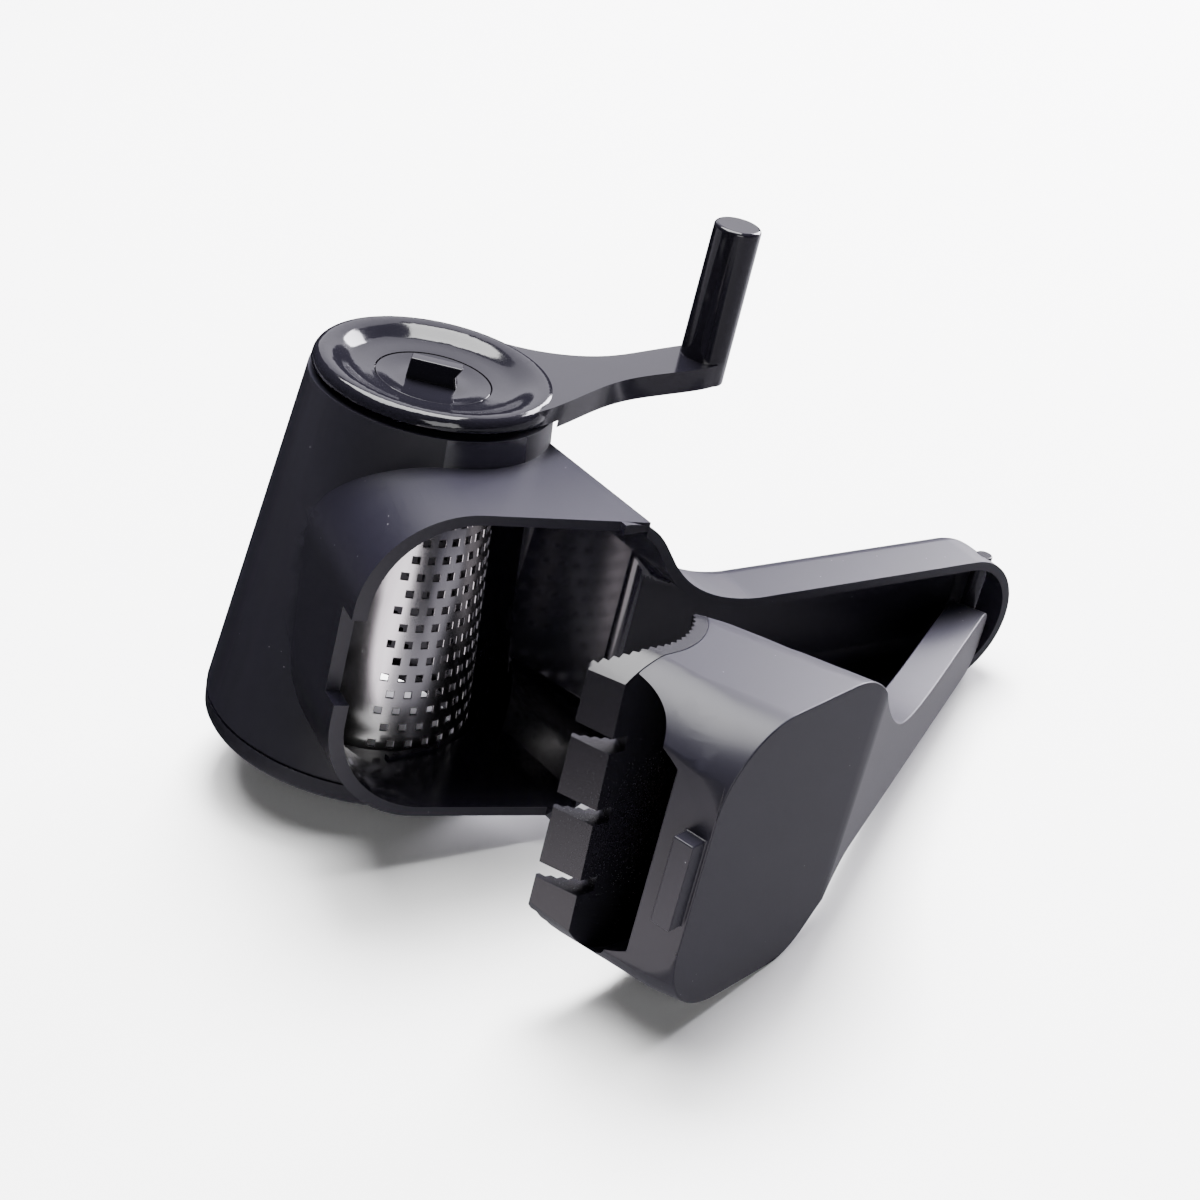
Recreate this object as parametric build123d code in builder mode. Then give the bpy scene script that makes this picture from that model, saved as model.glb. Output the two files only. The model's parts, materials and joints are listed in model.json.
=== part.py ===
"""Rotary cheese grater with a hinged pusher, a conical grating drum and a lift-off crank.

Everything is drawn with the drum's axis upright and the handle along +X, then the whole
grater is set down on its three feet: the sleeve's rim, the pusher's nose and the handle's end.
"""
from build123d import *
import math
import os

# ---- sleeve -------------------------------------------------------------------------
SLEEVE_HEIGHT = 92.0
SLEEVE_TOP_R = 29.0
SLEEVE_FOOT_R = 38.4
FOOT_BAND = 5.4
GROOVE = 0.7
WALL = 2.4
FOOT_ROUND = 0.8

# ---- hopper and handle --------------------------------------------------------------
HOPPER_TURN = 17.0
HOPPER_FRONT = 53.8
HOPPER_LEFT = -42.8
HOPPER_TOP = 85.6
HOPPER_BOTTOM = 7.0
HOPPER_CORNER = 25.0
HOPPER_BACK_LEFT = -45.0
RIM_SIDE = 3.6
RIM_FRONT_Y = -59.9
SHOULDER_X = 38.0
HANDLE_TOP = 60.4
HANDLE_BOTTOM = 24.0
HANDLE_END = 154.0
HANDLE_DEPTH = 17.5
HANDLE_BACK_ROUND = 6.0
NOTCH_Z = (36.6, 58.4)
NOTCH_DEPTH = 6.5
RIB_X = -5.5
RIB_LENGTH = 14.0
RIB_THICK = 1.6
RIB_HEIGHT = 0.8
RIB_CLEAR = 2.3

# ---- drum -----------------------------------------------------------------------------
DRUM_FOOT_R = 26.6
DRUM_TAPER = 0.097
DRUM_SHEET = 0.5
DRUM_BOTTOM = 2.4
DRUM_TOP = 86.2
HOLE = 1.9
HOLE_PITCH = 4.3
HOLE_ROWS = 17
HOLES_ROUND = 35
HOLES_LEFT_OUT = 4
HOLE_START = -120.0
HOLE_FIRST = 9.8
DRUM_RIM_HEIGHT = 4.6
JOURNAL_R = 14.0
CAP = 2.2

# ---- crank ----------------------------------------------------------------------------
CRANK_GAP = 0.4
DISH_R = 28.6
DISH_TOP = 97.0
DISH_WALL = 1.4
HUB_SEAT = 92.9
DISH_EDGE = 2.6
HUB_R = 13.6
ARM_UNDER = 90.6
ARM_END_WIDTH = 12.0
POST_X = 77.5
POST_Y = -5.2
POST_R = 6.1
POST_TOP_R = 5.9
POST_TOP = 131.0
TAB_LENGTH = 12.7
TAB_HEIGHT = 5.2
TAB_THICK = 3.4
TAB_TURN = -41.0

# ---- pusher ---------------------------------------------------------------------------
PIN_X = 143.6
PIN_Y = -55.4
PIN_R = 2.2
OPEN_ANGLE = 30.8
PLATE_PROUD = 1.2
PLATE_LEFT = -36.3
PLATE_TOP = 82.2
PLATE_BOTTOM = 10.6
PLATE_CORNER = 20.0
LEVER_TOP = 46.6
LEVER_BOTTOM = 28.4
LEVER_DEPTH = 9.6
LEVER_PROUD = 1.2
KNUCKLE_R = 5.4
KNUCKLE_SETBACK = 5.6
LEVER_END_SETBACK = 7.6
SHELL = 2.2
HEAD_RIGHT = 12.0
STRIP = 12.0
FACE_GAP = 2.0
PRESS_THICK = 2.6
TOOTH = 0.8
TEETH = 64
HORN_ANGLE = -61.0
ROOT_ANGLE = -145.0
ROOT_THICK = 6.0
TIP_ANGLE = -162.0
SLOT_WIDTH = 3.6
SLOT_PITCH = 16.7
LUG_OUT = 4.4
LUG_CLEAR = 0.4
LUG_DEPTH = 6.0
THROAT_CLEAR = 0.6
THROAT_MARGIN = 8.0


def sleeve_r(z):
    """Outer radius of the sleeve's cone at height z."""
    share = (z - FOOT_BAND) / (SLEEVE_HEIGHT - FOOT_BAND)
    return SLEEVE_FOOT_R + share * (SLEEVE_TOP_R - SLEEVE_FOOT_R)


def drum_r(z):
    """Outer radius of the drum's cone at height z."""
    return DRUM_FOOT_R - DRUM_TAPER * z


def polar(radius, degrees):
    """Point in plan at a radius and an angle round the drum's axis."""
    return (radius * math.cos(math.radians(degrees)), radius * math.sin(math.radians(degrees)))


turn = math.radians(HOPPER_TURN)
hopper_plane = Plane(origin=(0, -HOPPER_FRONT, 0), x_dir=(math.cos(turn), -math.sin(turn), 0),
                     z_dir=(-math.sin(turn), -math.cos(turn), 0))
KNEE_X = (-RIM_FRONT_Y - HOPPER_FRONT) / math.tan(turn)
KNEE = KNEE_X / math.cos(turn)
axis_depth = HOPPER_FRONT * math.cos(turn)


def rounded_left(left, right, top, bottom, corner):
    """Rounded on the left, square on the right, where the shoulder takes over."""
    with BuildSketch() as outline:
        with BuildLine():
            Polyline((right, top), (left, top), (left, bottom), (right, bottom), close=True)
        make_face()
        fillet(outline.vertices().group_by(Axis.X)[0], corner)
    return outline.sketch


def hopper_block(grow, mouth, deep=0.0):
    """Loft from the mouth to the plane through the drum's axis, or deeper; grow < 0 is the inside."""
    side = grow * RIM_SIDE / WALL
    back_left = HOPPER_BACK_LEFT + deep * (HOPPER_BACK_LEFT - HOPPER_LEFT) / axis_depth
    with BuildPart() as block:
        with BuildSketch(hopper_plane.offset(mouth)):
            add(rounded_left(HOPPER_LEFT - side, KNEE + 1, HOPPER_TOP + grow,
                             HOPPER_BOTTOM - grow, HOPPER_CORNER + grow))
        with BuildSketch(hopper_plane.offset(-axis_depth - deep)):
            add(rounded_left(back_left - grow, KNEE + 1, HOPPER_TOP + grow,
                             HOPPER_BOTTOM - grow, HOPPER_CORNER + grow))
        loft(ruled=True)
        with BuildSketch(Plane.XY.offset(-20)):
            with Locations((KNEE_X + 1, 0)):
                Rectangle(120, 200, align=(Align.MAX, Align.CENTER))
        extrude(amount=SLEEVE_HEIGHT + 40, mode=Mode.INTERSECT)
    return block.part


def shoulder_outline(grow):
    """Side view: the shoulder that drops from the hopper to the handle, and the handle."""
    half = (HANDLE_TOP - HANDLE_BOTTOM) / 2
    middle = (HANDLE_TOP + HANDLE_BOTTOM) / 2
    start = KNEE_X - 6
    with BuildSketch() as face:
        with BuildLine():
            top = Spline((start, HOPPER_TOP + grow), (SHOULDER_X - 5 + grow, 72.5 + grow / 2),
                         (SHOULDER_X + 24, HANDLE_TOP + grow),
                         tangents=((1, 0), (1, -0.06)))
            line_top = Line(top @ 1, (HANDLE_END - half, HANDLE_TOP + grow))
            end = ThreePointArc(line_top @ 1, (HANDLE_END + grow, middle),
                                (HANDLE_END - half, HANDLE_BOTTOM - grow))
            line_low = Line(end @ 1, (SHOULDER_X + 14, HANDLE_BOTTOM - grow))
            low = Spline(line_low @ 1, (SHOULDER_X - 10 + grow, 15.0 - grow), (start, HOPPER_BOTTOM - grow),
                         tangents=((-1, 0), (-1, 0)))
            Line(low @ 1, top @ 0)
        make_face()
    return face.sketch


def plan_block(points, low=-5.0, high=120.0):
    """Upright prism on a plan outline."""
    with BuildPart() as block:
        with BuildSketch(Plane.XY.offset(low)):
            with BuildLine():
                Polyline(*points, close=True)
            make_face()
        extrude(amount=high - low)
    return block.part


def shoulder_block(grow, front, back, root):
    """Shoulder and handle: the side outline drawn back along +Y and trimmed in plan."""
    plan = plan_block([(KNEE_X - 6, front - 1), (HANDLE_END + 10, front - 1), (HANDLE_END + 10, back),
                       (SHOULDER_X + grow, back), (SHOULDER_X - 5 + grow, root), (KNEE_X - 6, root)])
    with BuildPart() as block:
        with BuildSketch(Plane.XZ.offset(-front)):
            add(shoulder_outline(grow))
        extrude(amount=front - root)
        add(plan, mode=Mode.INTERSECT)
        far = block.edges().filter_by(lambda e: abs(e.center().Y - back) < 0.01 and e.length > 20)
        fillet(far, HANDLE_BACK_ROUND + grow)
    return block.part


# ---- housing: sleeve, hopper, handle in one moulding ----------------------------------
BORE_R = JOURNAL_R + CAP
handle_back = RIM_FRONT_Y + HANDLE_DEPTH
hopper_outer = hopper_block(0, 0)
hopper_inner = hopper_block(-WALL, 1)
shoulder_outer = shoulder_block(0, RIM_FRONT_Y, handle_back, -8.0)
shoulder_inner = shoulder_block(-WALL, RIM_FRONT_Y - 1, handle_back - WALL, -8.0 - WALL)
floor_level = HOPPER_BOTTOM + WALL

with BuildPart() as housing:
    with BuildSketch(Plane.XZ):
        with BuildLine():
            Polyline((0, 0), (SLEEVE_FOOT_R - FOOT_ROUND, 0), (SLEEVE_FOOT_R - 0.3, FOOT_ROUND),
                     (SLEEVE_FOOT_R, FOOT_BAND - GROOVE), (SLEEVE_FOOT_R - GROOVE, FOOT_BAND - GROOVE),
                     (SLEEVE_FOOT_R - GROOVE, FOOT_BAND), (sleeve_r(FOOT_BAND), FOOT_BAND),
                     (SLEEVE_TOP_R, SLEEVE_HEIGHT), (0, SLEEVE_HEIGHT), close=True)
        make_face()
    revolve(axis=Axis.Z)
    add(hopper_outer)
    add(shoulder_outer)
    with BuildSketch(Plane.XZ):
        with BuildLine():
            Polyline((0, -1), (sleeve_r(0) - WALL, -1), (sleeve_r(0) - WALL, 0),
                     (sleeve_r(SLEEVE_HEIGHT - WALL) - WALL, SLEEVE_HEIGHT - WALL),
                     (0, SLEEVE_HEIGHT - WALL), close=True)
        make_face()
    revolve(axis=Axis.Z, mode=Mode.SUBTRACT)
    with BuildSketch(Plane.XY.offset(HOPPER_BOTTOM)):
        Circle(sleeve_r(HOPPER_BOTTOM) - WALL / 2)
    extrude(amount=WALL)
    add(hopper_inner, mode=Mode.SUBTRACT)
    add(shoulder_inner, mode=Mode.SUBTRACT)
    with BuildSketch(Plane.XY.offset(HOPPER_BOTTOM - 1)):
        Circle(drum_r(HOPPER_BOTTOM) + CAP)
    extrude(amount=WALL + 2, mode=Mode.SUBTRACT)
    with BuildSketch(Plane.XY.offset(SLEEVE_HEIGHT)):
        Circle(BORE_R)
    extrude(amount=-2 * WALL, mode=Mode.SUBTRACT)
    with BuildSketch(Plane.XY.offset(floor_level)):
        with Locations((RIB_X, -drum_r(floor_level) - RIB_CLEAR - RIB_THICK / 2)):
            Rectangle(RIB_LENGTH, RIB_THICK)
    extrude(amount=RIB_HEIGHT)
    with BuildSketch(hopper_plane):
        with Locations((HOPPER_LEFT, sum(NOTCH_Z) / 2)):
            Rectangle(2.4 * RIM_SIDE, NOTCH_Z[1] - NOTCH_Z[0])
    extrude(amount=-NOTCH_DEPTH, mode=Mode.SUBTRACT)
    with BuildSketch(Plane.XY):
        with Locations((PIN_X, PIN_Y)):
            Circle(PIN_R)
    extrude(amount=SLEEVE_HEIGHT, mode=Mode.SUBTRACT)
housing.part.label = "housing"

# ---- bush in the sleeve's top, which the drum's journal turns in ----------------------
with BuildPart() as bearing_bush:
    with BuildSketch(Plane.XY.offset(SLEEVE_HEIGHT - WALL - 1.2)):
        Circle(BORE_R)
        Circle(JOURNAL_R + 0.08, mode=Mode.SUBTRACT)
    extrude(amount=WALL + 1.2)
    with BuildSketch(Plane.XY.offset(SLEEVE_HEIGHT - WALL - 1.2)):
        Circle(BORE_R + 1.6)
        Circle(JOURNAL_R + 0.08, mode=Mode.SUBTRACT)
    extrude(amount=1.2)
bearing_bush.part.label = "bearing_bush"

HUB_SEAT_R = TAB_LENGTH / 2 + 1.4
hub_edge = SLEEVE_HEIGHT + CRANK_GAP + DISH_WALL - 0.1

# ---- drum: perforated steel cone, rim ring below, hub above ---------------------------
with BuildPart() as drum_shell:
    with BuildSketch(Plane.XZ):
        with BuildLine():
            Polyline((drum_r(DRUM_BOTTOM) - DRUM_SHEET, DRUM_BOTTOM), (drum_r(DRUM_BOTTOM), DRUM_BOTTOM),
                     (drum_r(DRUM_TOP), DRUM_TOP), (drum_r(DRUM_TOP) - DRUM_SHEET, DRUM_TOP), close=True)
        make_face()
    revolve(axis=Axis.Z)
    for row in range(HOLE_ROWS):
        height = HOLE_FIRST + row * HOLE_PITCH
        for step in range(HOLES_ROUND - HOLES_LEFT_OUT):
            angle = 360.0 / HOLES_ROUND * (step + 0.5 * (row % 2)) + HOLE_START
            spoke = Plane(origin=polar(drum_r(height) - 2, angle) + (height,), x_dir=(0, 0, 1),
                          z_dir=polar(1, angle) + (0,))
            with BuildSketch(spoke):
                Rectangle(HOLE, HOLE)
    extrude(amount=4, mode=Mode.SUBTRACT)
drum_shell.part.label = "drum_shell"

with BuildPart() as drum_rim:
    with BuildSketch(Plane.XZ):
        with BuildLine():
            Polyline((drum_r(1.0) - DRUM_SHEET - CAP, 1.0), (drum_r(1.0) + 0.9, 1.0),
                     (drum_r(DRUM_BOTTOM) + 0.9, DRUM_BOTTOM), (drum_r(DRUM_BOTTOM) - DRUM_SHEET, DRUM_BOTTOM),
                     (drum_r(DRUM_RIM_HEIGHT) - DRUM_SHEET, DRUM_RIM_HEIGHT),
                     (drum_r(DRUM_RIM_HEIGHT) - DRUM_SHEET - CAP, DRUM_RIM_HEIGHT), close=True)
        make_face()
    revolve(axis=Axis.Z)
drum_rim.part.label = "drum_rim"

with BuildPart() as drum_hub:
    with BuildSketch(Plane.XZ):
        with BuildLine():
            stem = Polyline((HUB_SEAT_R, HUB_SEAT), (0, HUB_SEAT), (0, DRUM_TOP - 4),
                            (drum_r(DRUM_TOP - 4) - DRUM_SHEET, DRUM_TOP - 4),
                            (drum_r(DRUM_TOP) - DRUM_SHEET, DRUM_TOP), (JOURNAL_R, DRUM_TOP),
                            (JOURNAL_R, SLEEVE_HEIGHT + CRANK_GAP / 2), (HUB_R, SLEEVE_HEIGHT + CRANK_GAP / 2),
                            (HUB_R, hub_edge))
            Spline(stem @ 1, stem @ 0, tangents=((-1, -0.2), (-1, 0)))
        make_face()
    revolve(axis=Axis.Z)
drum_hub.part.label = "drum_hub"

# ---- tab that stands on the hub, in the middle of the crank's dish ---------------------
tab_plane = Plane(origin=(0, 0, HUB_SEAT), x_dir=polar(1, TAB_TURN) + (0,), z_dir=polar(1, TAB_TURN - 90) + (0,))
with BuildPart() as latch_tab:
    with BuildSketch(tab_plane):
        with BuildLine():
            Polyline((-TAB_LENGTH / 2, 0), (-TAB_LENGTH / 2 + 0.4, TAB_HEIGHT), (TAB_LENGTH / 2, TAB_HEIGHT),
                     (TAB_LENGTH / 2 - 1.4, TAB_HEIGHT / 2), (TAB_LENGTH / 2 - 0.6, 0), close=True)
        make_face()
    extrude(amount=TAB_THICK / 2, both=True)
latch_tab.part.label = "latch_tab"

# ---- crank: dish, arm and post in one moulding ----------------------------------------
with BuildPart() as crank:
    with BuildSketch(Plane.XZ):
        with BuildLine():
            rim_out = Polyline((HUB_R + 0.3, SLEEVE_HEIGHT + CRANK_GAP), (DISH_R - DISH_EDGE, SLEEVE_HEIGHT + CRANK_GAP),
                               (DISH_R, SLEEVE_HEIGHT + CRANK_GAP + 1.6))
            rim_top = Spline(rim_out @ 1, (DISH_R - 0.7, DISH_TOP - 0.9), (DISH_R - DISH_EDGE, DISH_TOP),
                             tangents=((0, 1), (-1, 0)))
            bowl = Spline(rim_top @ 1, (DISH_R - 9, DISH_TOP - 2.2), (HUB_R + 0.3, SLEEVE_HEIGHT + CRANK_GAP + DISH_WALL),
                          tangents=((-1, 0), (-1, -0.2)))
            Line(bowl @ 1, rim_out @ 0)
        make_face()
    revolve(axis=Axis.Z)
    with BuildSketch(Plane.XY.offset(ARM_UNDER)):
        with BuildLine():
            near = Spline(polar(DISH_R - 1.5, -76), (48, -13.8), (POST_X, POST_Y - ARM_END_WIDTH / 2),
                          tangents=((1, 0.16), (1, 0.27)))
            tip = ThreePointArc(near @ 1, (POST_X + ARM_END_WIDTH / 2, POST_Y), (POST_X, POST_Y + ARM_END_WIDTH / 2))
            far = Spline(tip @ 1, (44, -0.8), polar(DISH_R - 2.0, 38), tangents=((-1, -0.06), (-0.5, 1)))
            Line(far @ 1, near @ 0)
        make_face()
    extrude(amount=DISH_TOP - 0.5 - ARM_UNDER)
    with BuildSketch(Plane.XY.offset(ARM_UNDER)):
        Circle(SLEEVE_TOP_R + 1.4)
    extrude(amount=SLEEVE_HEIGHT + CRANK_GAP - ARM_UNDER, mode=Mode.SUBTRACT)
    with BuildSketch(Plane.XZ):
        with BuildLine():
            Polyline((0, SLEEVE_HEIGHT), (HUB_R + 0.3, SLEEVE_HEIGHT), (HUB_R + 0.3, SLEEVE_HEIGHT + CRANK_GAP + DISH_WALL))
            Spline((HUB_R + 0.3, SLEEVE_HEIGHT + CRANK_GAP + DISH_WALL), (DISH_R - 9, DISH_TOP - 2.2),
                   (DISH_R - DISH_EDGE, DISH_TOP), tangents=((1, 0.2), (1, 0)))
            Polyline((DISH_R - DISH_EDGE, DISH_TOP), (DISH_R - DISH_EDGE, DISH_TOP + 4), (0, DISH_TOP + 4),
                     (0, SLEEVE_HEIGHT))
        make_face()
    revolve(axis=Axis.Z, mode=Mode.SUBTRACT)
    with BuildSketch(Plane.XY.offset(ARM_UNDER)):
        with Locations((POST_X, POST_Y)):
            Circle(POST_R)
    with BuildSketch(Plane.XY.offset(POST_TOP)):
        with Locations((POST_X, POST_Y)):
            Circle(POST_TOP_R)
    loft()
    fillet(crank.edges().group_by(Axis.Z)[-1], 1.0)
crank.part.label = "crank"

# ---- pusher, drawn closed and then swung open on its pin ------------------------------
face_low = drum_r(0) + FACE_GAP
face_high = drum_r(SLEEVE_HEIGHT) + FACE_GAP


def plate_point(along, depth):
    """Plan point from the distance along the hopper's front and the depth behind the plate."""
    back = depth - PLATE_PROUD
    return (along * math.cos(turn) + back * math.sin(turn),
            -HOPPER_FRONT - along * math.sin(turn) + back * math.cos(turn))


def pusher_outline(inset):
    """Elevation of the plate, its two S curves and the lever."""
    left = plate_point(PLATE_LEFT, 0)[0] + inset
    half = (LEVER_TOP - LEVER_BOTTOM) / 2 - inset
    middle = (LEVER_TOP + LEVER_BOTTOM) / 2
    end = PIN_X - LEVER_END_SETBACK
    corner = PLATE_CORNER - inset
    with BuildSketch() as face:
        with BuildLine():
            top = Spline((6, PLATE_TOP - inset), (23 - inset, 73.5 - inset / 2), (46, 56.5 - inset),
                         (92, LEVER_TOP - inset), tangents=((1, 0), (1, -0.03)))
            l1 = Line(top @ 1, (end, LEVER_TOP - inset))
            cap = ThreePointArc(l1 @ 1, (end + half, middle), (end, LEVER_BOTTOM + inset))
            l2 = Line(cap @ 1, (36, LEVER_BOTTOM + inset))
            low = Spline(l2 @ 1, (18 - inset, 19.5 + inset / 2), (4, PLATE_BOTTOM + inset), tangents=((-1, 0), (-1, 0)))
            l3 = Line(low @ 1, (left + corner, PLATE_BOTTOM + inset))
            c1 = TangentArc(l3 @ 1, (left, PLATE_BOTTOM + inset + corner), tangent=(-1, 0))
            l4 = Line(c1 @ 1, (left, PLATE_TOP - inset - corner))
            c2 = TangentArc(l4 @ 1, (left + corner, PLATE_TOP - inset), tangent=(0, 1))
            Line(c2 @ 1, top @ 0)
        make_face()
    return face.sketch


def elevation_block(inset, front=-75.0, back=20.0):
    """The pusher's elevation drawn back along +Y."""
    with BuildPart() as block:
        with BuildSketch(Plane.XZ.offset(-front)):
            add(pusher_outline(inset))
        extrude(amount=front - back)
    return block.part


def press_outline(face_r, thick, reach):
    """Plan of the press plate: an arc round the drum, thicker at the fingers' roots."""
    steps = 8
    outer = [polar(face_r + thick, HORN_ANGLE + (-118 - HORN_ANGLE) * i / steps) for i in range(steps + 1)]
    return ([polar(reach, HORN_ANGLE)] + outer
            + [polar(face_r + ROOT_THICK, ROOT_ANGLE), polar(face_r + 0.8, TIP_ANGLE), polar(reach, TIP_ANGLE)])


def tapered(low_points, high_points):
    """Ruled loft between a low and a high plan outline."""
    with BuildPart() as block:
        for height, points in ((0.0, low_points), (SLEEVE_HEIGHT, high_points)):
            with BuildSketch(Plane.XY.offset(height)):
                with BuildLine():
                    Polyline(*points, close=True)
                make_face()
        loft(ruled=True)
    return block.part


def toothed(face_r):
    """Closed zigzag round the drum that leaves ridges along the press face."""
    return [polar(face_r - TOOTH * (i % 2), 360.0 * i / (2 * TEETH)) for i in range(2 * TEETH)]


lever_front = RIM_FRONT_Y - LEVER_PROUD
lever_back = lever_front + LEVER_DEPTH
knee = plate_point((KNEE_X + (RIM_FRONT_Y - lever_front) * 0.2) / math.cos(turn), 0)
press_region = tapered(press_outline(face_low, PRESS_THICK, 12), press_outline(face_high, PRESS_THICK, 12))
drum_cutter = tapered(toothed(face_low), toothed(face_high))
head_plan = [plate_point(PLATE_LEFT, 0), (knee[0], lever_front), (PIN_X, lever_front),
             (PIN_X, lever_back), (HEAD_RIGHT + 26, lever_back), (HEAD_RIGHT + 8, lever_back + 3),
             (HEAD_RIGHT + 1, lever_back + 12), polar(face_low + PRESS_THICK, HORN_ANGLE),
             polar(face_low - 12, HORN_ANGLE), (0, -8), polar(face_low - 12, TIP_ANGLE), polar(face_low + 2, -158),
             plate_point(PLATE_LEFT, 32)]
head_cavity = [plate_point(PLATE_LEFT + SHELL, SHELL), plate_point(KNEE - 6, SHELL),
               (HEAD_RIGHT - SHELL, lever_back + 4), (HEAD_RIGHT - SHELL - 1, -8), (-60, -8),
               plate_point(PLATE_LEFT - 20, STRIP), plate_point(PLATE_LEFT + SHELL, STRIP)]
keep_out = hopper_block(THROAT_MARGIN, -1, 25) - hopper_block(-WALL - THROAT_CLEAR, 0, 25)
lever_cavity = [(HEAD_RIGHT + 12, lever_front + SHELL), (PIN_X - 10, lever_front + SHELL),
                (PIN_X - 10, 0), (HEAD_RIGHT + 12, 0)]

with BuildPart() as pusher_cover:
    add(elevation_block(0))
    add(plan_block(head_plan), mode=Mode.INTERSECT)
    add(press_region, mode=Mode.SUBTRACT)
    add(keep_out, mode=Mode.SUBTRACT)
    add(elevation_block(SHELL) & plan_block(head_cavity), mode=Mode.SUBTRACT)
    add(elevation_block(SHELL) & plan_block(lever_cavity), mode=Mode.SUBTRACT)
    with BuildSketch(Plane.XY.offset(LEVER_BOTTOM + KNUCKLE_SETBACK)):
        with Locations((PIN_X, PIN_Y)):
            Circle(KNUCKLE_R)
    extrude(amount=LEVER_TOP - LEVER_BOTTOM - 2 * KNUCKLE_SETBACK)
    with BuildSketch(Plane.XY):
        with Locations((PIN_X, PIN_Y)):
            Circle(PIN_R + 0.07)
    extrude(amount=SLEEVE_HEIGHT, mode=Mode.SUBTRACT)
    lug = plan_block([plate_point(PLATE_LEFT - LUG_OUT, 1.0), plate_point(PLATE_LEFT + 1, 1.0),
                      plate_point(PLATE_LEFT + 1, LUG_DEPTH), plate_point(PLATE_LEFT - LUG_OUT, LUG_DEPTH)],
                     NOTCH_Z[0] + LUG_CLEAR, NOTCH_Z[1] - LUG_CLEAR)
    add(lug)
pusher_cover.part = pusher_cover.part.solids().sort_by(SortBy.VOLUME)[-1]
pusher_cover.part.label = "pusher_cover"

with BuildPart() as press_plate:
    add(elevation_block(0))
    add(press_region, mode=Mode.INTERSECT)
    add(keep_out, mode=Mode.SUBTRACT)
    add(drum_cutter, mode=Mode.SUBTRACT)
    middle = (PLATE_TOP + PLATE_BOTTOM) / 2
    for slot in (-1, 0, 1):
        with BuildSketch(Plane.XY.offset(middle + slot * SLOT_PITCH - SLOT_WIDTH / 2)):
            with BuildLine():
                Polyline(polar(10, ROOT_ANGLE + 8), polar(50, ROOT_ANGLE + 8), polar(60, TIP_ANGLE - 10),
                         polar(10, TIP_ANGLE - 30), close=True)
            make_face()
        extrude(amount=SLOT_WIDTH, mode=Mode.SUBTRACT)
press_plate.part.label = "press_plate"

# ---- hinge pin -----------------------------------------------------------------------
with BuildPart() as hinge_pin:
    with BuildSketch(Plane.XY.offset(HANDLE_BOTTOM + 2.4)):
        with Locations((PIN_X, PIN_Y)):
            Circle(PIN_R)
    extrude(amount=HANDLE_TOP - HANDLE_BOTTOM - 3.6)
hinge_pin.part.label = "hinge_pin"


# ---- set down on the sleeve's rim, the pusher's nose and the handle's end -------------
def three_foot_tilt(nose, heel, rim_r):
    """Slope (a, b) of the plane z = a x + b y - rim_r |(a, b)| through the nose and the heel."""
    a, b = 0.1, -0.1
    for _ in range(60):
        lift = rim_r * math.hypot(a, b)
        det = nose[0] * heel[1] - heel[0] * nose[1]
        a_new = ((nose[2] + lift) * heel[1] - (heel[2] + lift) * nose[1]) / det
        b_new = (nose[0] * (heel[2] + lift) - heel[0] * (nose[2] + lift)) / det
        a = 0.5 * (a + a_new)
        b = 0.5 * (b + b_new)
    return a, b


swing = Location((PIN_X, PIN_Y, 0)) * Location((0, 0, 0), (0, 0, OPEN_ANGLE)) * Location((-PIN_X, -PIN_Y, 0))
nose_plan = (swing * Location(plate_point(0, 2) + (PLATE_BOTTOM,))).position
nose_foot = (nose_plan.X, nose_plan.Y, PLATE_BOTTOM)
heel_foot = (HANDLE_END - 12, RIM_FRONT_Y + 3, HANDLE_BOTTOM + 2)
slope_x, slope_y = three_foot_tilt(nose_foot, heel_foot, SLEEVE_FOOT_R - FOOT_ROUND)
lean = math.degrees(math.atan(math.hypot(slope_x, slope_y)))
lean_axis = Axis((0, 0, 0), (-slope_y, slope_x, 0))

pieces = [housing, bearing_bush, drum_shell, drum_rim, drum_hub, latch_tab, crank, pusher_cover, press_plate,
          hinge_pin]
swung = {"pusher_cover", "press_plate"}
leaned = {}
for piece in pieces:
    solid = piece.part
    if solid.label in swung:
        solid = swing * solid
    leaned[piece.part.label] = solid.rotate(lean_axis, lean)
boxes = [solid.bounding_box() for solid in leaned.values()]
lowest = min(box.min.Z for box in boxes)
middle_x = (min(box.min.X for box in boxes) + max(box.max.X for box in boxes)) / 2
middle_y = (min(box.min.Y for box in boxes) + max(box.max.Y for box in boxes)) / 2
os.makedirs("parts", exist_ok=True)
for label, solid in leaned.items():
    placed = Location((-middle_x, -middle_y, -lowest)) * solid
    placed.label = label
    export_step(placed, f"parts/{label}.step")
print("lean", lean, "slopes", slope_x, slope_y)
print("shift", -middle_x, -middle_y, -lowest)
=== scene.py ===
"""Looks of the rotary grater: moulded black plastic, a perforated steel drum and a pale studio."""
import json
import math

import bmesh
import bpy
from mathutils import Matrix, Vector


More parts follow.
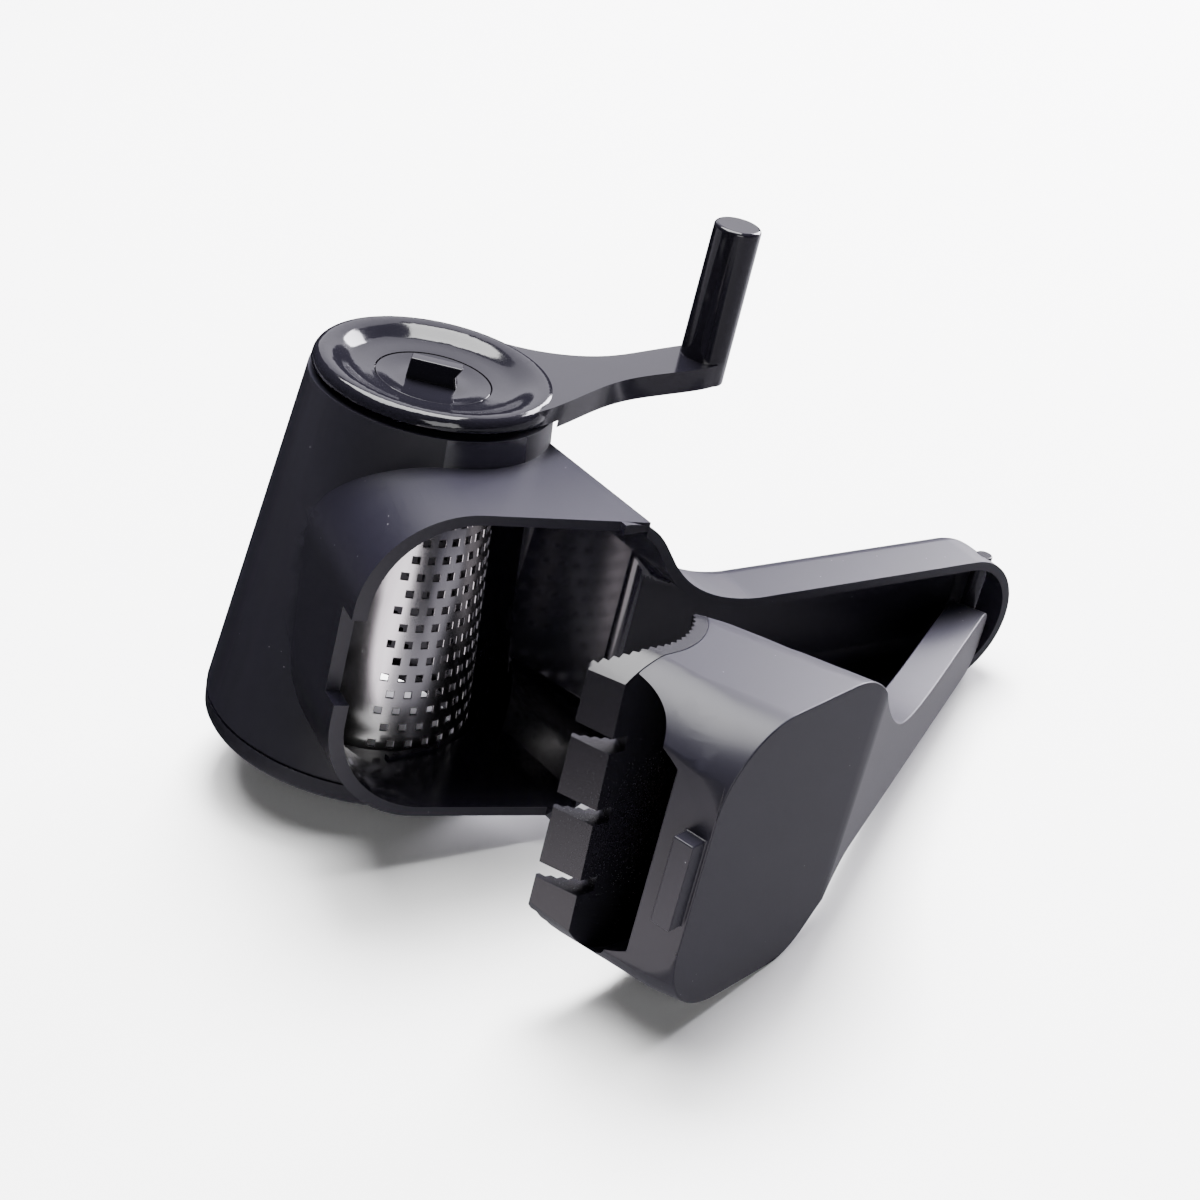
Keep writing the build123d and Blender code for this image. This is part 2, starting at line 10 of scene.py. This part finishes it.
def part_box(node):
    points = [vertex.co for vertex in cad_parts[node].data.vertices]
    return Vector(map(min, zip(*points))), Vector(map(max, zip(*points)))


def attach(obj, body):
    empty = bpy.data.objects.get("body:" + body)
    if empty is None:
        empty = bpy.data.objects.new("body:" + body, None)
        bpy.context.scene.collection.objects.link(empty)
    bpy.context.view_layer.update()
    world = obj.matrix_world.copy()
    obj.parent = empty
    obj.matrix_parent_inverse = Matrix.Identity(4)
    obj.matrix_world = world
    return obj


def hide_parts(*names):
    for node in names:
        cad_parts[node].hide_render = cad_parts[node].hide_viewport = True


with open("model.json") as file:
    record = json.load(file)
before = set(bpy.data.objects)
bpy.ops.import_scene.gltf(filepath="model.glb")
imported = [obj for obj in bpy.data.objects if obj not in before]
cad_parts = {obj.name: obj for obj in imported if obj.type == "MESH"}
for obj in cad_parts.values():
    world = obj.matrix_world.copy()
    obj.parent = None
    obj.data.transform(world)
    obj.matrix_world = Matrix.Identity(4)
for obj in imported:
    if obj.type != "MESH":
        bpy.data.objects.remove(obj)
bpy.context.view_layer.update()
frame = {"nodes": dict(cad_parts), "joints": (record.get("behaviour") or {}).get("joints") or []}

bl_info = {
    "name": "Rotary Grater",
    "version": (1, 0, 0),
    "blender": (4, 5, 0),
    "location": "View3D > Sidebar > Grater",
    "description": "Finishes the grater's pieces and sets the studio",
    "category": "Object",
}

MM = 0.001
UP = Vector((0.0, 0.0, 1.0))
ORIGIN = (0.0, 0.0, 0.0)

# The drum's frame: Z is the drum's axis, the origin is at the sleeve's foot, and the joint's
# own point stands on the axis at a height of 46 mm.
AXIS_JOINT = next(joint for joint in frame["joints"] if joint["name"] == "drum_spin")
AXIS = Vector(AXIS_JOINT["axis"]).normalized()
AXIS_POINT = Vector(AXIS_JOINT["pos_m"])
AXIS_POINT_HEIGHT = 46.0 * MM
TILT = UP.rotation_difference(AXIS).to_matrix().to_4x4()
DRUM_FRAME = Matrix.Translation(AXIS_POINT - AXIS * AXIS_POINT_HEIGHT) @ TILT

# Sizes in millimetres and angles in degrees, in the drum's frame. The taper is what the drum's
# radius loses over a millimetre of height.
DRUM_FOOT_R = 26.6
DRUM_TAPER = 0.097
HOLE_SIZE = 1.9
HOLE_FIRST = 9.8
HOLE_PITCH = 4.3
HOLE_ROWS = 17
HOLES_ROUND = 35
HOLES_CUT = 31
HOLE_START = -120.0

# A burr stands around each hole: its corners, its height, how far its lip closes in, its wall
# and how deep it sits in the sheet.
BURR_RADIUS = HOLE_SIZE * 0.74
BURR_HEIGHT = 0.16
BURR_LIP = 0.93
BURR_WALL = 0.12
BURR_SINK = 0.08

# The flange runs from the foot ring in under the sleeve and closes the gap between the two.
FLANGE_IN = 27.2
FLANGE_OUT = 35.0
FLANGE_HEIGHT = 1.8
FLANGE_THICK = 1.0
FLANGE_SIDES = 128
FLANGE_EDGE = 0.2

# Faces that look at the hopper's heart from within its reach are polished.
HOPPER_HEART = Vector((-4.0, -44.0, 46.0))
HOPPER_REACH = 62.0

# How squarely a face looks at the hopper's heart, or along the drum's radius, to count as one
# that faces it.
POLISH_FACING = 0.15
SHEET_FACING = 0.9

# How a CAD mesh is cleaned, in millimetres, and shaded, in degrees.
MERGE_GAP = 0.004
WELD_GAP = 0.003
FLAT_ANGLE = 0.6
EDGE_ANGLE = 33.0
FLANGE_EDGE_ANGLE = 40.0
SMOOTH_ANGLE = 28.0
BURR_SMOOTH_ANGLE = 30.0

# Textures: a scale counts the features in a metre, a depth is in metres.
NOISE_MEAN = 0.5
CLOUD_SCALE = 38.0
SHEEN_SCALE = 9.0
GRAIN_SHEEN = 0.05
GRAIN_STRENGTH = 0.10
GRAIN_DEPTH = 0.04 * MM
DUST_CELLS = 330.0
DUST_RADIUS = 0.05
DUST_PATCHES = 120.0
DUST_PATCH_LEVEL = 0.60
DUST_COLOUR = (0.26, 0.25, 0.28, 1.0)
DUST_ROUGHNESS = 0.2
ROLL_STREAKS = (420.0, 420.0, 36.0)
ROLL_SHEEN = 0.14
SMEAR_SCALE = 26.0
SMEAR_SHEEN = 0.1
SMEAR_TINT = (0.86, 0.85, 0.84)
STREAK_SHARE = 0.5
DENT_SCALE = 140.0
DENT_STRENGTH = 0.10
DENT_DEPTH = 0.05 * MM
DRUM_ROUGHNESS = 0.24
# The drum's inner faces get a darker steel. It is painted shade inside the drum, because the real
# steel is the same inside and out.
DRUM_INSIDE_SHADE_COLOUR = (0.20, 0.195, 0.20, 1.0)
DRUM_INSIDE_ROUGHNESS = 0.42


# ---- shader maths ---------------------------------------------------------------------
class Wire:
    """A shader socket that takes part in plain arithmetic."""

    def __init__(self, net, socket):
        self.net = net
        self.socket = socket

    def math(self, operation, *values):
        return self.net.node("ShaderNodeMath", {"operation": operation}, dict(enumerate(values)))

    def __add__(self, other):
        return self.math("ADD", self, other)

    __radd__ = __add__

    def __sub__(self, other):
        return self.math("SUBTRACT", self, other)

    def __rsub__(self, other):
        return self.math("SUBTRACT", other, self)

    def __mul__(self, other):
        return self.math("MULTIPLY", self, other)

    __rmul__ = __mul__

    def above(self, edge, width):
        """0 below the edge, 1 above it, with a ramp of the given width."""
        ramp = {"Value": self, "From Min": edge - width / 2, "From Max": edge + width / 2}
        return self.net.node("ShaderNodeMapRange", {"interpolation_type": "SMOOTHSTEP"}, ramp)


class Net:
    """One material's node tree."""

    def __init__(self, name):
        self.material = bpy.data.materials.new(name)
        self.material.use_nodes = True
        self.tree = self.material.node_tree
        self.shader = self.tree.nodes["Principled BSDF"]
        self.place = self.node("ShaderNodeTexCoord", {}, {}, output="Object")

    def feed(self, socket, value):
        """Link a wire to a socket, or set a plain value on it."""
        if isinstance(value, Wire):
            self.tree.links.new(value.socket, socket)
        else:
            socket.default_value = value

    def node(self, kind, settings, sockets, output=0):
        """Add a node, set it up and fill its sockets, which go by name or by number."""
        made = self.tree.nodes.new(kind)
        for key, value in settings.items():
            setattr(made, key, value)
        for key, value in sockets.items():
            self.feed(made.inputs[key], value)
        return Wire(self, made.outputs[output])

    def noise(self, scale, detail=2.0, rough=0.5, where=None):
        return self.node("ShaderNodeTexNoise", {}, {"Vector": where or self.place, "Scale": scale,
                                                    "Detail": detail, "Roughness": rough})

    def stretched(self, scale):
        """Object coordinates turned to the drum's frame and scaled along each axis."""
        turn = {"Vector": self.place, "Center": tuple(AXIS_POINT),
                "Axis": tuple(UP.cross(AXIS).normalized()), "Angle": AXIS.angle(UP)}
        turned = self.node("ShaderNodeVectorRotate",
                           {"rotation_type": "AXIS_ANGLE", "invert": True}, turn)
        return self.node("ShaderNodeVectorMath", {"operation": "MULTIPLY"}, {0: turned, 1: scale})

    def mix(self, factor, first, second):
        """Mix two colours, whose sockets are a Mix node's inputs 6 and 7 and its output 2."""
        colours = {0: factor, 6: first, 7: second}
        return self.node("ShaderNodeMix", {"data_type": "RGBA"}, colours, output=2)

    def bump(self, height, strength, distance):
        return self.node("ShaderNodeBump", {},
                         {"Height": height, "Strength": strength, "Distance": distance})

    def set(self, **values):
        for key, value in values.items():
            self.feed(self.shader.inputs[key.replace("_", " ")], value)


def lifted(colour, amounts):
    """An opaque colour, brighter or darker by an amount for each channel."""
    return tuple(channel * amount for channel, amount in zip(colour, amounts)) + (1.0,)


def plastic(name, colour, lift, rough, spread, grain, dust, shine):
    """Moulded black plastic: fine spark-eroded grain, uneven sheen and sparse pale dust.

    The colour is the name of the setting that gives it, and dust is a share of the dust set.
    """
    base = tuple(getattr(finishes(), colour))
    net = Net(name)
    cloud = net.noise(CLOUD_SCALE, detail=3.0)
    fine = net.noise(grain, rough=0.6)
    sheen = net.noise(SHEEN_SCALE)
    cells = net.node("ShaderNodeTexVoronoi", {}, {"Vector": net.place, "Scale": DUST_CELLS})
    patches = net.noise(DUST_PATCHES, detail=0.0)
    specks = 1 - cells.above(DUST_RADIUS, width=0.02)
    dusty = patches.above(DUST_PATCH_LEVEL, width=0.04)
    speckled = specks * dusty * (dust * finishes().dust)
    clean = net.mix(cloud, base, lifted(base, (lift, lift, lift)))
    uneven = (sheen - NOISE_MEAN) * spread + (fine - NOISE_MEAN) * GRAIN_SHEEN
    net.set(Base_Color=net.mix(speckled, clean, DUST_COLOUR), Specular_IOR_Level=shine,
            Roughness=uneven + rough + speckled * DUST_ROUGHNESS,
            Normal=net.bump(fine, GRAIN_STRENGTH, GRAIN_DEPTH))
    return net.material


def steel(name, base, rough):
    """Rolled sheet: streaks along the roll, small dents and a faint warm smear of grease."""
    net = Net(name)
    streak = net.noise(1.0, detail=4.0, rough=0.6, where=net.stretched(ROLL_STREAKS))
    smear = net.noise(SMEAR_SCALE, detail=3.0)
    dent = net.noise(DENT_SCALE, detail=1.0)
    uneven = (streak - NOISE_MEAN) * ROLL_SHEEN + (smear - NOISE_MEAN) * SMEAR_SHEEN
    net.set(Base_Color=net.mix(smear, base, lifted(base, SMEAR_TINT)), Metallic=1.0,
            Roughness=uneven + rough,
            Normal=net.bump(streak * STREAK_SHARE + dent, DENT_STRENGTH, DENT_DEPTH))
    return net.material


# ---- mesh helpers -----------------------------------------------------------------------
def only(obj):
    """Select one object and make it the active one."""
    bpy.ops.object.select_all(action="DESELECT")
    bpy.context.view_layer.objects.active = obj
    obj.select_set(True)


def edit_all():
    """Enter edit mode with the whole mesh selected."""
    bpy.ops.object.mode_set(mode="EDIT")
    bpy.ops.mesh.select_all(action="SELECT")


def leave_edit():
    """Go back to object mode."""
    bpy.ops.object.mode_set(mode="OBJECT")


def shape_with(obj, kind, **settings):
    """Add a modifier with its settings to the active object and apply it."""
    modifier = obj.modifiers.new(kind, kind)
    for key, value in settings.items():
        setattr(modifier, key, value)
    bpy.ops.object.modifier_apply(modifier=modifier.name)


def dressed(node, name, material, body, width, clamp=True, weld=False):
    """A clean copy of a CAD node, its edges softened by a width in millimetres, in its place."""
    source = frame["nodes"][node]
    obj = bpy.data.objects.new(name, source.data.copy())
    bpy.context.scene.collection.objects.link(obj)
    only(obj)
    obj.data.materials.clear()
    obj.data.materials.append(material)
    edit_all()
    bpy.ops.mesh.remove_doubles(threshold=MERGE_GAP * MM)
    bpy.ops.mesh.dissolve_limited(angle_limit=math.radians(FLAT_ANGLE),
                                  use_dissolve_boundaries=False)
    leave_edit()
    if width:
        shape_with(obj, "BEVEL", width=width * MM, segments=3, limit_method="ANGLE",
                   angle_limit=math.radians(EDGE_ANGLE), use_clamp_overlap=clamp)
    if weld:
        edit_all()
        bpy.ops.mesh.remove_doubles(threshold=WELD_GAP * MM)
        bpy.ops.mesh.dissolve_degenerate(threshold=WELD_GAP * MM)
        leave_edit()
    low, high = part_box(node)
    for vertex in obj.data.vertices:
        vertex.co = [min(max(value, low[axis]), high[axis])
                     for axis, value in enumerate(vertex.co)]
    bpy.ops.object.shade_smooth_by_angle(angle=math.radians(SMOOTH_ANGLE))
    if width:
        shape_with(obj, "WEIGHTED_NORMAL", keep_sharp=True)
    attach(obj, body)
    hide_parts(node)
    return obj


def polish_inside(obj, material, centre, reach):
    """Give the faces that look towards a point, and lie within reach of it, their own finish."""
    obj.data.materials.append(material)
    for face in obj.data.polygons:
        way = centre - face.center
        if way.length < reach and way.normalized().dot(face.normal) > POLISH_FACING:
            face.material_index = 1


def rolled(obj, inner):
    """Set the cone's own normals on the sheet, so that it reflects evenly, and put a darker steel
    of painted shade on its inner faces.
    """
    mesh = obj.data
    mesh.materials.append(inner)
    back = DRUM_FRAME.inverted()
    turn = DRUM_FRAME.to_3x3()
    normals = [None] * len(mesh.loops)
    for face in mesh.polygons:
        for index in face.loop_indices:
            place = back @ mesh.vertices[mesh.loops[index].vertex_index].co
            flat = Vector((place.x, place.y, 0.0)).normalized()
            out = (turn @ (flat + Vector((0.0, 0.0, DRUM_TAPER)))).normalized()
            side = out.dot(face.normal)
            if abs(side) < SHEET_FACING:
                normals[index] = face.normal
            else:
                normals[index] = out if side > 0 else -out
                # Faces turned inward take the darker steel, which is painted shade.
                face.material_index = 0 if side > 0 else 1
    mesh.normals_split_custom_set(normals)


def foot_flange(ring):
    """A thin flange from the drum's foot ring towards the sleeve, joined to the ring."""
    centre = (0.0, 0.0, FLANGE_HEIGHT * MM)
    bpy.ops.object.select_all(action="DESELECT")
    bpy.ops.mesh.primitive_circle_add(vertices=FLANGE_SIDES, radius=FLANGE_OUT * MM,
                                      location=centre)
    flange = bpy.context.object
    bpy.ops.object.transform_apply(location=True, rotation=True, scale=True)
    edit_all()
    bpy.ops.mesh.extrude_region_move()
    inward = FLANGE_IN / FLANGE_OUT
    bpy.ops.transform.resize(value=(inward, inward, 1.0), center_override=centre)
    bpy.ops.mesh.select_all(action="SELECT")
    bpy.ops.mesh.normals_make_consistent(inside=False)
    leave_edit()
    shape_with(flange, "SOLIDIFY", thickness=FLANGE_THICK * MM, offset=0.0)
    shape_with(flange, "BEVEL", width=FLANGE_EDGE * MM, segments=2, limit_method="ANGLE",
               angle_limit=math.radians(FLANGE_EDGE_ANGLE))
    flange.data.transform(DRUM_FRAME)
    flange.data.materials.append(ring.data.materials[0])
    only(ring)
    flange.select_set(True)
    bpy.ops.object.join()


def punched_burr():
    """The mesh of one burr, which stands on the origin and points up."""
    bpy.ops.object.select_all(action="DESELECT")
    bpy.ops.mesh.primitive_circle_add(vertices=4, radius=BURR_RADIUS * MM)
    burr = bpy.context.object
    edit_all()
    bpy.ops.transform.rotate(value=math.pi / 4, orient_axis="Z", center_override=ORIGIN)
    bpy.ops.mesh.extrude_region_move(TRANSFORM_OT_translate={"value": (0, 0, BURR_HEIGHT * MM)})
    bpy.ops.transform.resize(value=(BURR_LIP, BURR_LIP, 1.0))
    leave_edit()
    shape_with(burr, "SOLIDIFY", thickness=BURR_WALL * MM, offset=0.0)
    shape = burr.data.copy()
    bpy.data.objects.remove(burr)
    return shape


def grater_burrs(material, body):
    """Copy the burr to every hole of the drum and join the copies to a single piece."""
    shape = punched_burr()
    rows = bmesh.new()
    for row in range(HOLE_ROWS):
        height = HOLE_FIRST + row * HOLE_PITCH
        radius = DRUM_FOOT_R - DRUM_TAPER * height
        for step in range(HOLES_CUT):
            angle = math.radians(360.0 / HOLES_ROUND * (step + 0.5 * (row % 2)) + HOLE_START)
            out = Vector((math.cos(angle), math.sin(angle), DRUM_TAPER)).normalized()
            hole = Vector((radius * math.cos(angle), radius * math.sin(angle), height))
            seat = hole * MM - out * BURR_SINK * MM
            turn = out.to_track_quat("Z", "Y").to_matrix().to_4x4()
            piece = shape.copy()
            piece.transform(DRUM_FRAME @ Matrix.Translation(seat) @ turn)
            rows.from_mesh(piece)
            bpy.data.meshes.remove(piece)
    bmesh.ops.recalc_face_normals(rows, faces=rows.faces)
    mesh = bpy.data.meshes.new("drum_burrs")
    rows.to_mesh(mesh)
    rows.free()
    obj = bpy.data.objects.new("drum_burrs", mesh)
    bpy.context.scene.collection.objects.link(obj)
    obj.data.materials.append(material)
    only(obj)
    bpy.ops.object.shade_smooth_by_angle(angle=math.radians(BURR_SMOOTH_ANGLE))
    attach(obj, body)


# ---- sizes and colours a user would change ----------------------------------------------
class GraterFinish(bpy.types.PropertyGroup):
    """Colours and edge softness of the grater."""

    body_colour: bpy.props.FloatVectorProperty(
        name="Body", description="Colour of the moulded body", size=4, subtype="COLOR",
        min=0.0, max=1.0, default=(0.0062, 0.0056, 0.0098, 1.0))
    gloss_colour: bpy.props.FloatVectorProperty(
        name="Gloss", description="Colour of the crank and the press plate", size=4,
        subtype="COLOR", min=0.0, max=1.0, default=(0.0045, 0.0042, 0.0062, 1.0))
    steel_colour: bpy.props.FloatVectorProperty(
        name="Drum", description="Colour of the drum's steel", size=4, subtype="COLOR",
        min=0.0, max=1.0, default=(0.72, 0.71, 0.72, 1.0))
    edge: bpy.props.FloatProperty(
        name="Edge", description="Width of the softened edges of the housing and the pusher",
        subtype="DISTANCE", unit="LENGTH", precision=5, min=0.0, max=1.0 * MM,
        default=0.35 * MM)
    dust: bpy.props.FloatProperty(
        name="Dust", description="Strength of the pale dust", subtype="FACTOR",
        min=0.0, max=1.0, default=0.55)


class GraterStudio(bpy.types.PropertyGroup):
    """Camera and light of the studio."""

    lens: bpy.props.FloatProperty(
        name="Lens", description="Focal length of the camera", subtype="DISTANCE_CAMERA",
        unit="CAMERA", min=1.0, default=82.38)
    softbox_top: bpy.props.FloatProperty(
        name="Top", description="Power of the softbox overhead", subtype="POWER",
        unit="POWER", min=0.0, default=64.0)
    softbox_back: bpy.props.FloatProperty(
        name="Back", description="Power of the softbox behind", subtype="POWER",
        unit="POWER", min=0.0, default=6.0)
    softbox_right: bpy.props.FloatProperty(
        name="Right", description="Power of the softbox to the right", subtype="POWER",
        unit="POWER", min=0.0, default=54.0)
    softbox_front: bpy.props.FloatProperty(
        name="Front", description="Power of the softbox in front", subtype="POWER",
        unit="POWER", min=0.0, default=7.0)
    key_matt: bpy.props.FloatProperty(
        name="Key", description="Power of the key light, which leaves no highlight",
        subtype="POWER", unit="POWER", min=0.0, default=310.0)
    sky: bpy.props.FloatProperty(
        name="Sky", description="Brightness of the wall behind the floor", min=0.0, default=6.0)


def finishes():
    """The colours, edge width and dust that are set now."""
    return bpy.context.scene.grater_finish


def body_plastic():
    return plastic("satin body plastic", "body_colour", lift=1.35, rough=0.40, spread=0.10,
                   grain=2600.0, dust=1.0, shine=0.38)


def gloss_plastic():
    return plastic("gloss crank plastic", "gloss_colour", lift=1.3, rough=0.10, spread=0.06,
                   grain=1500.0, dust=0.2, shine=0.5)


def polished_plastic():
    return plastic("polished hopper plastic", "body_colour", lift=1.3, rough=0.15, spread=0.06,
                   grain=1800.0, dust=0.2, shine=1.0)


def press_plastic():
    return plastic("press plate plastic", "gloss_colour", lift=1.3, rough=0.27, spread=0.08,
                   grain=2000.0, dust=0.0, shine=0.4)


class GRATER_OT_housing(bpy.types.Operator):
    """Dress the sleeve, hopper and handle, the bush and the hinge pin"""

    bl_idname = "grater.housing"
    bl_label = "Housing"

    def execute(self, context):
        shell = body_plastic()
        housing = dressed("housing", "housing_shell", shell, "housing_body",
                          width=finishes().edge / MM)
        polish_inside(housing, polished_plastic(), DRUM_FRAME @ (HOPPER_HEART * MM),
                      HOPPER_REACH * MM)
        dressed("bearing_bush", "sleeve_bush", shell, "housing_body", width=0.2)
        dressed("hinge_pin", "pusher_pin", gloss_plastic(), "housing_body",
                width=0.3)
        return {"FINISHED"}


class GRATER_OT_drum(bpy.types.Operator):
    """Dress the drum's sheet, rim and hub and raise a burr at each hole"""

    bl_idname = "grater.drum"
    bl_label = "Drum"

    def execute(self, context):
        sheet = steel("rolled drum steel", tuple(finishes().steel_colour), DRUM_ROUGHNESS)
        rim = press_plastic()
        drum = dressed("drum_shell", "drum_sheet", sheet, "drum_body", width=0.0)
        # The inner faces take a darker steel, which is painted shade inside the drum.
        rolled(drum, steel("drum steel inside", DRUM_INSIDE_SHADE_COLOUR, DRUM_INSIDE_ROUGHNESS))
        ring = dressed("drum_rim", "drum_foot_ring", rim, "drum_body", width=0.25)
        foot_flange(ring)
        dressed("drum_hub", "drum_top_hub", gloss_plastic(), "drum_body",
                width=0.25)
        dressed("latch_tab", "hub_tab", gloss_plastic(), "drum_body", width=0.4)
        grater_burrs(sheet, "drum_body")
        return {"FINISHED"}


class GRATER_OT_crank(bpy.types.Operator):
    """Dress the dished crank with its arm and post"""

    bl_idname = "grater.crank"
    bl_label = "Crank"

    def execute(self, context):
        dressed("crank", "crank_arm", gloss_plastic(), "crank_body", width=0.45,
                weld=True)
        return {"FINISHED"}


class GRATER_OT_pusher(bpy.types.Operator):
    """Dress the pusher's cover with its lever, and the toothed press plate"""

    bl_idname = "grater.pusher"
    bl_label = "Pusher"

    def execute(self, context):
        dressed("pusher_cover", "pusher_shell", body_plastic(), "pusher_body",
                width=finishes().edge / MM, clamp=False, weld=True)
        dressed("press_plate", "pusher_press", press_plastic(), "pusher_body",
                width=0.25)
        return {"FINISHED"}


# ---- studio -----------------------------------------------------------------------------
# Places and sizes in metres, the sensor in millimetres.
CAMERA_PLACE = Vector((-0.35964, -0.44450, 0.36123))
CAMERA_AZIMUTH = math.radians(-36.832)
CAMERA_ELEVATION = math.radians(28.791)
SENSOR_WIDTH = 36.0
CLIP_START = 0.01

WHITE = (1.0, 1.0, 1.0)
COOL = (0.94, 0.91, 1.0)
LILAC = (0.90, 0.87, 1.0)
ROSE = (1.0, 0.92, 0.99)

FLOOR_PLACE = (0.5, 0.6, 0.0)
FLOOR_SIZE = 3.6
FLOOR_GLOW = 0.02
PAPER_SCALE = 3.0
PAPER_TONES = ((0.80, 0.80, 0.80, 1.0), (0.81, 0.81, 0.81, 1.0))

# Reflecting cards: name, place, size, strength, turn, tint.
CARDS = (
    ("glow_right", (0.704, -0.527, 0.001), 2.0, 0.42, CAMERA_AZIMUTH, LILAC),
    ("glow_far_left", (-0.82, 0.99, 0.001), 1.2, 0.70, CAMERA_AZIMUTH, LILAC),
    ("glow_mouth", (-0.185, -0.11, 0.002), 0.17, 3.0, 0.0, ROSE),
)

# Lamps: name, place, aim, sides, colour, and whether they show in reflections. The studio's
# setting of the same name gives a lamp's power.
GRATER_MIDDLE = (0.0, 0.0, 0.05)
LAMPS = (
    ("softbox_top", (0.10, 0.20, 1.30), ORIGIN, (1.2, 1.0), WHITE, True),
    ("softbox_back", (0.75, 0.95, 0.85), GRATER_MIDDLE, (1.3, 0.9), COOL, True),
    ("softbox_right", (1.30, 0.30, 0.50), GRATER_MIDDLE, (0.7, 0.7), COOL, True),
    ("softbox_front", (-0.45, -1.25, 0.50), GRATER_MIDDLE, (0.7, 0.7), WHITE, True),
    ("key_matt", (0.75, 0.65, 2.0), ORIGIN, (1.1, 1.1), WHITE, False),
)


def studio_floor():
    """A plain pale paper floor that doesn't show in reflections."""
    bpy.ops.object.select_all(action="DESELECT")
    bpy.ops.mesh.primitive_plane_add(size=FLOOR_SIZE, location=FLOOR_PLACE)
    floor = bpy.context.object
    floor.name = "studio_floor"
    floor.visible_glossy = False
    paper = Net("studio paper")
    paper.set(Base_Color=paper.mix(paper.noise(PAPER_SCALE), *PAPER_TONES), Roughness=0.9,
              Specular_IOR_Level=0.1, Emission_Color=WHITE + (1.0,),
              Emission_Strength=FLOOR_GLOW)
    floor.data.materials.append(paper.material)


def reflector(name, place, size, strength, turn, tint):
    """A pale card on the floor that only shows in reflections, as lit paper would."""
    bpy.ops.object.select_all(action="DESELECT")
    bpy.ops.mesh.primitive_plane_add(size=size, location=place, rotation=(0.0, 0.0, turn))
    card = bpy.context.object
    card.name = name
    glow = Net(name)
    glow.set(Base_Color=(0.0, 0.0, 0.0, 1.0), Emission_Color=tint + (1.0,),
             Emission_Strength=strength)
    card.data.materials.append(glow.material)
    card.visible_camera = False
    card.visible_diffuse = False
    card.visible_shadow = False


def sky(strength):
    """A bright wall behind the floor that the camera sees and that lights nothing."""
    world = bpy.data.worlds.new("studio")
    world.use_nodes = True
    background = world.node_tree.nodes["Background"].inputs
    background["Color"].default_value = WHITE + (1.0,)
    background["Strength"].default_value = strength
    bpy.context.scene.world = world
    for kind in ("diffuse", "glossy", "transmission", "scatter"):
        setattr(world.cycles_visibility, kind, False)


def lamp(name, place, aim, sides, colour, shines, power):
    """A rectangular area light that looks from its place to its aim."""
    data = bpy.data.lights.new(name, "AREA")
    data.shape = "RECTANGLE"
    data.size, data.size_y = sides
    data.energy = power
    data.color = colour
    obj = bpy.data.objects.new(name, data)
    obj.location = place
    obj.rotation_euler = (Vector(aim) - Vector(place)).to_track_quat("-Z", "Y").to_euler()
    obj.visible_glossy = shines
    bpy.context.scene.collection.objects.link(obj)


def camera(lens):
    """The scene's camera, with a focal length in millimetres."""
    obj = bpy.data.objects.new("camera", bpy.data.cameras.new("camera"))
    obj.data.lens = lens
    obj.data.sensor_width = SENSOR_WIDTH
    obj.data.clip_start = CLIP_START
    obj.location = CAMERA_PLACE
    obj.rotation_euler = (math.pi / 2 - CAMERA_ELEVATION, 0.0, CAMERA_AZIMUTH)
    bpy.context.scene.collection.objects.link(obj)
    bpy.context.scene.camera = obj


class GRATER_OT_stage(bpy.types.Operator):
    """Make the floor, the lights and the camera"""

    bl_idname = "grater.stage"
    bl_label = "Stage"

    def execute(self, context):
        studio = context.scene.grater_studio
        studio_floor()
        for card in CARDS:
            reflector(*card)
        sky(studio.sky)
        for row in LAMPS:
            lamp(*row, power=getattr(studio, row[0]))
        camera(studio.lens)
        return {"FINISHED"}


class GRATER_PT_panel(bpy.types.Panel):
    """The grater's pieces and studio"""

    bl_label = "Grater"
    bl_idname = "GRATER_PT_panel"
    bl_space_type = "VIEW_3D"
    bl_region_type = "UI"
    bl_category = "Grater"

    def draw(self, context):
        for owner in (context.scene.grater_finish, context.scene.grater_studio):
            for name in owner.__annotations__:
                self.layout.prop(owner, name)
        for kind in OPERATORS:
            self.layout.operator(kind.bl_idname)


OPERATORS = (GRATER_OT_housing, GRATER_OT_drum, GRATER_OT_crank, GRATER_OT_pusher, GRATER_OT_stage)
CLASSES = (GraterFinish, GraterStudio) + OPERATORS + (GRATER_PT_panel,)


def register():
    for kind in CLASSES:
        bpy.utils.register_class(kind)
    bpy.types.Scene.grater_finish = bpy.props.PointerProperty(type=GraterFinish)
    bpy.types.Scene.grater_studio = bpy.props.PointerProperty(type=GraterStudio)


def unregister():
    del bpy.types.Scene.grater_finish
    del bpy.types.Scene.grater_studio
    for kind in reversed(CLASSES):
        bpy.utils.unregister_class(kind)


def main():
    register()
    bpy.ops.grater.housing()
    bpy.ops.grater.drum()
    bpy.ops.grater.crank()
    bpy.ops.grater.pusher()
    bpy.ops.grater.stage()


if __name__ == "__main__":
    main()
